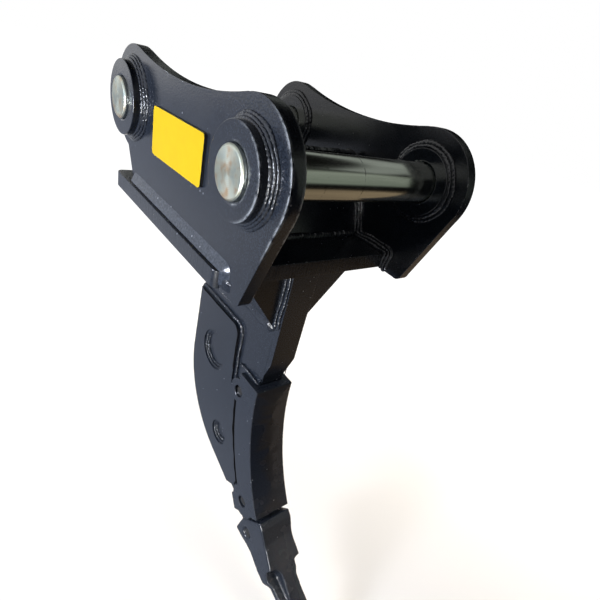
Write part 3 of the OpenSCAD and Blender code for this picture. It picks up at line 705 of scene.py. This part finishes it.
def bead_rings(path, legs_mm, passes, pitch_mm, crown, ripple, seed, stray, number, chance):
    """The points of one bead, ring by ring: the domes of its passes, then the corner point under them."""
    points, first, second, closed = path
    points, first, second = (np.asarray(v, float) for v in (points, first, second))
    across = np.linspace(0, 1, STEPS_PER_PASS * passes + 1)
    dome = np.abs(np.sin(across * passes * math.pi))
    crescent = dome ** 2
    lane = np.minimum((across * passes).astype(int), passes - 1)
    length = np.concatenate([[0], np.cumsum(np.linalg.norm(np.diff(points, axis=0), axis=1))])
    # The odd factors here and below only keep two beads, or two passes, from looking alike.
    shift = seed * 1.7 + number * 0.61 + lane * 0.37
    wander = 0.10 * np.sin(length / (23 * MM) + seed + number)
    wander += 0.07 * np.sin(length / (9.1 * MM) + 2 * seed)
    lobes = chance.uniform(0.6, 1.3, (int(length[-1] / (pitch_mm * MM)) + 4, passes))
    rings = []
    for k, point in enumerate(points):
        a = first[k] * legs_mm[0] * MM
        b = second[k] * legs_mm[1] * MM
        bulge = a + b
        bulge = bulge / np.linalg.norm(bulge) * np.linalg.norm(a - b) * crown / passes
        beat = length[k] / (pitch_mm * MM) + shift - 0.6 * crescent
        cycle = beat % 1
        scale = np.sqrt(np.clip(1 - (2 * cycle - 1) ** 2, 0, 1))
        scale = scale * lobes[beat.astype(int) % len(lobes), lane]
        height = dome ** 0.7 * (1 + ripple * (scale - 0.7) + wander[k])
        ends = 1.0 if closed else min(1.0, 0.3 + min(k, len(points) - 1 - k) * 0.09)
        sway = np.sin(length[k] / (17 * MM) + 3 * seed + number)
        drift = across + stray * LANE_DRIFT * np.sin(math.pi * across) * sway
        swell = np.sin(length[k] / (13 * MM) + seed) * np.sin(length[k] / (31 * MM) + number)
        toe = 1 + stray * TOE_DRIFT * swell
        for t, h in zip(drift, height):
            rings.append(point + ends * (toe * a * (1 - t) + b * t + bulge * h))
        rings.append(point)
    return rings


print("a bead's section has", STEPS_PER_PASS, "steps for each pass")

# %% [markdown]
# ## One piece from several beads
# The rings of points are skinned into closed tubes, and the beads of one kind make one painted piece. The
# crest is smooth. The toe keeps a sharp edge, because a smooth one would draw a dark outline round the bead.

# %% Bead pieces
TOE_CREASE = math.radians(65)


def bead_mesh(name, paths, legs_mm, passes=1, pitch_mm=7.5, crown=0.34, ripple=0.8, seed=0, stray=1.0,
              paint=weld_paint):
    """One piece from several paths. A path is (points, along first face, along second face, closed)."""
    verts, faces = [], []
    ring = STEPS_PER_PASS * passes + 2
    chance = np.random.default_rng(seed)
    for number, path in enumerate(paths):
        start = len(verts)
        verts += bead_rings(path, legs_mm, passes, pitch_mm, crown, ripple, seed, stray, number, chance)
        count = len(path[0])
        closed = path[3]
        for k in range(count if closed else count - 1):
            here = start + k * ring
            there = start + (k + 1) % count * ring
            for j in range(ring):
                beside = (j + 1) % ring
                faces.append((here + j, here + beside, there + beside, there + j))
        if not closed:
            last = start + (count - 1) * ring
            faces.append(tuple(range(start + ring - 1, start - 1, -1)))
            faces.append(tuple(range(last, last + ring)))
    mesh = bpy.data.meshes.new(name)
    mesh.from_pydata([tuple(v) for v in verts], [], faces)
    shape = bmesh.new()
    shape.from_mesh(mesh)
    bmesh.ops.recalc_face_normals(shape, faces=shape.faces)
    shape.to_mesh(mesh)
    shape.free()
    mesh.polygons.foreach_set("use_smooth", [True] * len(mesh.polygons))
    mesh.set_sharp_from_angle(angle=TOE_CREASE)
    mesh.materials.append(paint)
    piece = bpy.data.objects.new(name, mesh)
    bpy.context.scene.collection.objects.link(piece)
    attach(piece, "root")
    print(name, "has", len(verts), "points")
    return piece


print("toes sharper than", round(math.degrees(TOE_CREASE)), "degrees stay sharp")

# %% [markdown]
# ## Paths for the beads
# A bead needs the corner that it fills and the directions of the two faces that meet there. A boss gives a
# circle. A plate gives a line with corners, at which the section fans round as a welder's torch does. Most
# lines come in pairs, one on the left side of the ripper and its mirror image on the right.

# %% Bead paths
FAN_STEPS = 8


def circle_path(x, y, z, radius, out):
    """A ring about an axis along Y: the first face runs outwards, the second along Y."""
    count = int(2 * math.pi * radius / RING_STEP)
    angle = np.linspace(0, 2 * math.pi, count, endpoint=False)
    radial = np.stack([np.cos(angle), 0 * angle, np.sin(angle)], 1)
    points = np.array([x, y, z]) + radius * radial
    return points, radial, np.tile([0.0, out, 0.0], (count, 1)), True


def bent_path(corners, normals, second):
    """A path through corners, with a first direction for each stretch. It fans round at each corner."""
    points, first = [], []
    for k in range(len(corners) - 1):
        p = np.array(corners[k], float)
        q = np.array(corners[k + 1], float)
        count = max(2, int(np.linalg.norm(q - p) / RING_STEP))
        normal = np.array(normals[k], float)
        for t in np.linspace(0, 1, count):
            points.append(p + t * (q - p))
            first.append(normal)
        if k + 2 < len(corners):
            ahead = np.array(normals[k + 1], float)
            for t in np.linspace(0, 1, FAN_STEPS)[1:-1]:
                mixed = (1 - t) * normal + t * ahead
                points.append(q)
                first.append(mixed / np.linalg.norm(mixed))
    return points, first, np.tile(np.array(second, float), (len(points), 1)), False


def both_sides(y, corners, normals, second=(0, 1, 0)):
    """The same bent path on the left and on the right: corners are (x, z), and all along Y is mirrored."""
    paths = []
    for side in (-1, 1):
        points = [(x, side * y, z) for x, z in corners]
        paths.append(bent_path(points, normals, (second[0], side * second[1], second[2])))
    return paths


print("beads are drawn in steps of", round(RING_STEP / MM, 1), "mm")

# %% [markdown]
# ## Boss welds
# Each boss goes through its ear and is welded on both sides. Outside, three passes fill the corner against
# the collar. Inside, two passes lie round the smaller body of the boss.

# %% Boss welds
BOSS_BODY_R = 67.5 * MM
INNER_LEGS = (14.4, 8)
ear_low, ear_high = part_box("right_ear")
boss_low, boss_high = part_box("right_arm_boss")
weld_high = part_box("boss_welds")[1]
collar_r = (boss_high.z - boss_low.z) / 2
outer_leg = (weld_high.z - collar_r) / MM
pin_axes = ((0.0, 0.0), (link_axis.x, link_axis.z))

outer_paths, inner_paths = [], []
for x, z in pin_axes:
    for side in (-1, 1):
        outer_paths.append(circle_path(x, side * ear_high.y, z, collar_r, side))
        inner_paths.append(circle_path(x, side * ear_low.y, z, BOSS_BODY_R, -side))
outer = bead_mesh("outer_boss_beads", outer_paths, (outer_leg, outer_leg), passes=3, crown=0.22,
                  ripple=1.2, seed=1)
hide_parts("boss_welds")
inner = bead_mesh("inner_boss_beads", inner_paths, INNER_LEGS, passes=2, seed=2)
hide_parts("inner_boss_welds")
print("boss beads on collars of", round(collar_r / MM, 1), "mm radius")

# %% [markdown]
# ## Ledge welds
# The base plate is wider than the ears, and a long flat bead runs along the ledge outside each ear. At the
# front it turns down round the end of the base plate, and a last pass fans out over the toe of the ear. That
# turn faces the low light and carries the brightest glint of all.

# %% Ledge welds
HEEL_X = -450 * MM
END_LIFT = 2 * MM
base_low, base_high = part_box("base_plate")
toe_z = ear_low.z
front_corner = (base_high.x, base_high.z)

ledges = both_sides(ear_high.y, [(HEEL_X, base_high.z), front_corner, (base_high.x, base_low.z)],
                    [(0, 0, 1), (1, 0, 0)])
# The ledge beads take the paler coat with its painted sheen.
bead_mesh("ledge_beads", ledges, (20, 9), crown=0.03, ripple=1.2, seed=3, stray=0.2, paint=sheen_ledge_paint)
ledge_ends = both_sides(ear_high.y, [front_corner, (base_high.x, toe_z + END_LIFT)], [(1, 0, 0)])
bead_mesh("ledge_end_beads", ledge_ends, (27, 7), crown=0.1, ripple=0.3, seed=14, stray=0.3)
print("ledge from", round(HEEL_X / MM), "to", round(base_high.x / MM), "mm")

# %% [markdown]
# ## Welds inside the hanger
# Between the ears the base plate and the two leaning cross plates are welded in with heavy beads of three
# passes. The beads run up the cross plates to the ridge where these two meet, and the ridge has a bead too.

# %% Inside welds
RIDGE_DEPTH = 21.4 * MM
WRAP = 5 * MM
SPAN_GAP = 6 * MM
RIDGE_LEAN = (0.98, 0, 0.2)
front_low, front_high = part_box("front_cross_plate")
rear_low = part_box("rear_cross_plate")[0]
front_foot = front_high.x
ridge_front = front_low.x + RIDGE_DEPTH
ridge_mid = ridge_front - RIDGE_DEPTH / 2
span = ear_low.y - SPAN_GAP
up_front = Vector((ridge_front - front_foot, 0, front_high.z - base_high.z)).normalized()
face_front = (up_front.z, 0, -up_front.x)
down_rear = Vector((rear_low.x - front_low.x, 0, base_high.z - front_high.z)).normalized()
face_rear = (-abs(down_rear.z), 0, abs(down_rear.x))


def cross_path(x, z, first, second):
    """A straight bead from ear to ear."""
    return bent_path([(x, -span, z), (x, span, z)], [first], second)


# Round the base plate's front end, along its top and up the front cross plate.
inside_corners = [(base_high.x - WRAP, base_low.z), (base_high.x, base_low.z), front_corner,
                  (front_foot, base_high.z), (ridge_front, front_high.z)]
inside_faces = [(0, 0, -1), (1, 0, 0), (0, 0, 1), face_front]
# Down the rear cross plate and along the base plate's top to the heel.
rear_corners = [(front_low.x, front_high.z), (rear_low.x, base_high.z), (HEEL_X, base_high.z)]
foot_paths = both_sides(ear_low.y, inside_corners, inside_faces, (0, -1, 0))
foot_paths += both_sides(ear_low.y, rear_corners, [face_rear, (0, 0, 1)], (0, -1, 0))
bead_mesh("ear_foot_beads", foot_paths, (17, 14), passes=3, ripple=1.0, seed=4)
cross_feet = [cross_path(front_foot, base_high.z, tuple(up_front), (1, 0, 0)),
              cross_path(rear_low.x, base_high.z, (-down_rear.x, 0, -down_rear.z), (-1, 0, 0))]
bead_mesh("cross_plate_foot_beads", cross_feet, (9, 9), seed=5)
ridge = cross_path(ridge_mid, front_high.z, (-RIDGE_LEAN[0], 0, RIDGE_LEAN[2]), RIDGE_LEAN)
bead_mesh("cross_plate_ridge_bead", [ridge], (11, 11), crown=0.15, seed=6)
print("cross plates meet at", round(ridge_mid / MM), "mm")

# %% [markdown]
# ## Welds of the braces
# Two leaning braces and their end gussets carry the side load from the shank to the base plate. Under each
# brace lies a broad, smooth fillet that was ground after welding, and upright beads of two passes close the
# gussets.

# %% Brace welds
brace_low, brace_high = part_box("left_brace")
gusset_low, gusset_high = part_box("front_gussets")
rear_gusset_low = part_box("rear_gussets")[0]
half_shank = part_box("shank")[1].y
slope = Vector((0, brace_high.y - brace_low.y, brace_high.z - brace_low.z)).normalized()

level_lines = both_sides(half_shank, [(rear_gusset_low.x, gusset_low.z), (gusset_high.x, gusset_low.z)],
                         [(0, 0, -1)], (0, slope.y, slope.z))
under = bead_mesh("brace_beads", level_lines, (16, 17), crown=0.2, ripple=0.12, seed=7)
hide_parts("brace_welds")
uprights = []
for x, out in ((gusset_high.x, 1), (rear_gusset_low.x, -1)):
    uprights.append(both_sides(half_shank, [(x, gusset_low.z), (x, base_low.z)], [(out, 0, 0)]))
bead_mesh("gusset_beads", [path for pair in zip(*uprights) for path in pair], (16, 9), passes=2, seed=8)
print("braces lean", round(math.degrees(math.atan2(slope.y, slope.z))), "degrees")

# %% [markdown]
# ## Outlines of the cheek plates
# The cheek plates have curved outlines, so the path of their welds is read from the solids: the edges that
# belong to only one triangle of a flat face are its outline, and they are strung together into closed loops.

# %% Outline reader
SAME_PLANE = 0.01 * MM


def flat_key(vertex):
    """A vertex seen from the side, in hundredths of a millimetre, so that equal points meet."""
    return round(vertex.co.x / MM, 2), round(vertex.co.z / MM, 2)


def outline_loops(node, y):
    """The closed outlines of a plate's flat face at y, each as an ordered list of points, longest first."""
    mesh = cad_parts[node].data
    mesh.calc_loop_triangles()
    count = {}
    for tri in mesh.loop_triangles:
        corners = [mesh.vertices[i] for i in tri.vertices]
        if all(abs(c.co.y - y) < SAME_PLANE for c in corners):
            for p, q in ((0, 1), (1, 2), (2, 0)):
                pair = tuple(sorted((flat_key(corners[p]), flat_key(corners[q]))))
                count[pair] = count.get(pair, 0) + 1
    around = {}
    for (p, q), times in count.items():
        if times == 1:
            around.setdefault(p, []).append(q)
            around.setdefault(q, []).append(p)
    loops = []
    while around:
        start = next(iter(around))
        loop, here, before = [start], start, None
        while True:
            ahead = [n for n in around[here] if n != before and (n == start or n not in loop)]
            if not ahead or ahead[0] == start:
                break
            before, here = here, ahead[0]
            loop.append(here)
        for point in loop:
            around.pop(point, None)
        loops.append(np.array(loop) * MM)
    return sorted(loops, key=len, reverse=True)


def loop_path(loop, y, out, inwards):
    """An even path round a closed outline, with its in-plane normal as the first direction."""
    closed = np.vstack([loop, loop[:1]])
    length = np.concatenate([[0], np.cumsum(np.linalg.norm(np.diff(closed, axis=0), axis=1))])
    even = np.linspace(0, length[-1], int(length[-1] / RING_STEP), endpoint=False)
    flat = np.stack([np.interp(even, length, closed[:, k]) for k in (0, 1)], 1)
    ahead = np.roll(flat, -2, 0) - np.roll(flat, 2, 0)
    normal = np.stack([ahead[:, 1], -ahead[:, 0]], 1)
    normal /= np.linalg.norm(normal, axis=1)[:, None] + 1e-12
    area = np.sum(flat[:, 0] * np.roll(flat[:, 1], -1) - flat[:, 1] * np.roll(flat[:, 0], -1))
    if (area < 0) != inwards:
        normal = -normal
    points = np.stack([flat[:, 0], np.full(len(flat), y), flat[:, 1]], 1)
    first = np.stack([normal[:, 0], 0 * normal[:, 0], normal[:, 1]], 1)
    return points, first, np.tile([0.0, out, 0.0], (len(flat), 1)), True


CHEEKS = (("left_cheek_plate", -1), ("right_cheek_plate", 1))
print("outline points:", [len(outline_loops(node, side * half_shank)[0]) for node, side in CHEEKS])

# %% [markdown]
# ## Cheek plate welds
# Each wear plate is welded to the shank all round its edge, and again inside its two large holes, which are
# called plug welds. The hole beads are rougher, because the welder works in a pit.

# %% Cheek plate welds
edge_paths, plug_paths = [], []
for node, side in CHEEKS:
    loops = outline_loops(node, side * half_shank)
    edge_paths.append(loop_path(loops[0], side * half_shank, side, False))
    plug_paths += [loop_path(loop, side * half_shank, side, True) for loop in loops[1:]]
bead_mesh("cheek_edge_beads", edge_paths, (8, 6), crown=0.3, ripple=1.2, seed=9)
bead_mesh("plug_weld_beads", plug_paths, (12, 8), passes=2, ripple=1.3, seed=10)
print("cheek outlines:", len(edge_paths), "plug welds:", len(plug_paths))

# %% [markdown]
# ## Weld on top of the protector
# The protector is pinned on, and a short bead on each side of the shank stops it from creeping upwards.

# %% Protector top weld
TOP_WELD_X = (-162 * MM, -74 * MM)
TOP_WELD_LIFT = 1 * MM
guard_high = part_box("shank_protector")[1]

top_corners = [(x, guard_high.z + TOP_WELD_LIFT) for x in TOP_WELD_X]
bead_mesh("protector_top_beads", both_sides(half_shank, top_corners, [(0, 0, 1)]), (9, 7), seed=11)
print("protector top at", round(guard_high.z / MM), "mm")

# %% [markdown]
# ## Painted shade in the joints
# The gap between the protector and the cheek plates, and the crack along their upper edges, lie in shade.
# A dull, nearly black strip paints that shade as a thin dark line that parts the plates. It is a strip a
# millimetre high along the edge of each plate.

# %% Painted shade in the joints
# The protector's rear wall is an arc about this centre. The part's source works out both values.
RING_AT = (550 * MM, -550 * MM)
WALL_R = 680 * MM
CHEEK_GAP = 11 * MM
SHADE_SET_IN = 2 * MM
SHADE_ARC = (4, 31)
CRACK_FACING = np.array([0.8, 0.0, 0.6])
CRACK_TURN = 0.1
CRACK_BELOW = 25 * MM
cheek_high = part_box("right_cheek_plate")[1]

# A dull, nearly black paint: painted shade for the gap and the crack.
joint_shade, tree = new_material("painted_shade_in_joints")
place = add(tree, "ShaderNodeTexCoord").outputs["Object"]
shade_noise = add(tree, "ShaderNodeTexNoise", {"Vector": place, "Scale": per_mm(2.5), "Detail": 4.0})
shade = add(tree, "ShaderNodeMix", {
    0: shade_noise.outputs[0], 6: srgb("#030303"), 7: srgb("#0C0B0A")}, data_type="RGBA")
shade_bump = add(tree, "ShaderNodeBump", {"Height": shade_noise.outputs[0], "Strength": 0.8, "Distance": 0.6 * MM})
close(tree, add(tree, "ShaderNodeBsdfPrincipled", {
    "Base Color": shade.outputs[2], "Roughness": 0.95, "Specular IOR Level": 0.03,
    "Normal": shade_bump.outputs[0]}))


def wall_path(side):
    """The edge of a cheek plate along the rear wall of the protector, an arc seen from the side."""
    count = int(math.radians(SHADE_ARC[1] - SHADE_ARC[0]) * WALL_R / RING_STEP)
    angle = np.radians(np.linspace(*SHADE_ARC, count))
    away = np.stack([-np.cos(angle), 0 * angle, -np.sin(angle)], 1)
    middle = np.array([RING_AT[0], side * cheek_high.y, RING_AT[1]])
    points = middle + (WALL_R + CHEEK_GAP - SHADE_SET_IN) * away
    return points, away, np.tile([0.0, side, 0.0], (count, 1)), False


def crack_path(node, side):
    """The upper and front edge of a cheek plate above the protector, as a strip on its outer face."""
    y = side * cheek_high.y
    points, first, second = loop_path(outline_loops(node, y)[0], y, side, False)[:3]
    kept = (first @ CRACK_FACING > CRACK_TURN) & (points[:, 2] > guard_high.z - CRACK_BELOW)
    start = int(np.argmax(kept & ~np.roll(kept, 1)))
    order = np.roll(np.arange(len(kept)), -start)
    run = order[kept[order]]
    return points[run], -first[run], second[run], False


# Painted shade along the protector's rear wall and along the cracks of the cheek plates.
bead_mesh("painted_shade_lines_at_protector", [wall_path(-1), wall_path(1)], (11, 1.2), crown=0.0, ripple=0.0, seed=12,
          stray=1.5, paint=joint_shade)
cracks = [crack_path(node, side) for node, side in CHEEKS]
bead_mesh("cheek_crack_shade_lines", cracks, (4.5, 0.8), crown=0.0, ripple=0.0, seed=15, paint=joint_shade)
print("crack points:", [len(path[0]) for path in cracks])

# %% [markdown]
# ## Seam on the shank
# A fine raised seam runs down the shank a thumb's width behind its front edge, where the edge was built up
# by welding and ground flush. Its place is taken from the straight part of the shank above the protector.

# %% Seam behind the shank's front edge
SEAM_IN = 18 * MM
SEAM_TOP_GAP = 20 * MM
SEAM_FOOT_GAP = 15 * MM
ABOVE_GUARD = 60 * MM
shank_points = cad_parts["shank"].data.vertices
straight_x = max(v.co.x for v in shank_points if v.co.z > guard_high.z + ABOVE_GUARD)
seam_x = straight_x - SEAM_IN

seam_ends = [(seam_x, gusset_low.z - SEAM_TOP_GAP), (seam_x, guard_high.z + SEAM_FOOT_GAP)]
seams = both_sides(half_shank, seam_ends, [(1, 0, 0)])
bead_mesh("shank_seam_beads", seams, (2.4, 0.5), crown=0.2, ripple=0.3, seed=13)
print("seam at", round(seam_x / MM), "mm")

# %% [markdown]
# ## Finish
# The plain view transform shows each colour as it was written.

# %% View settings and finish
bpy.context.scene.view_settings.view_transform = "Standard"
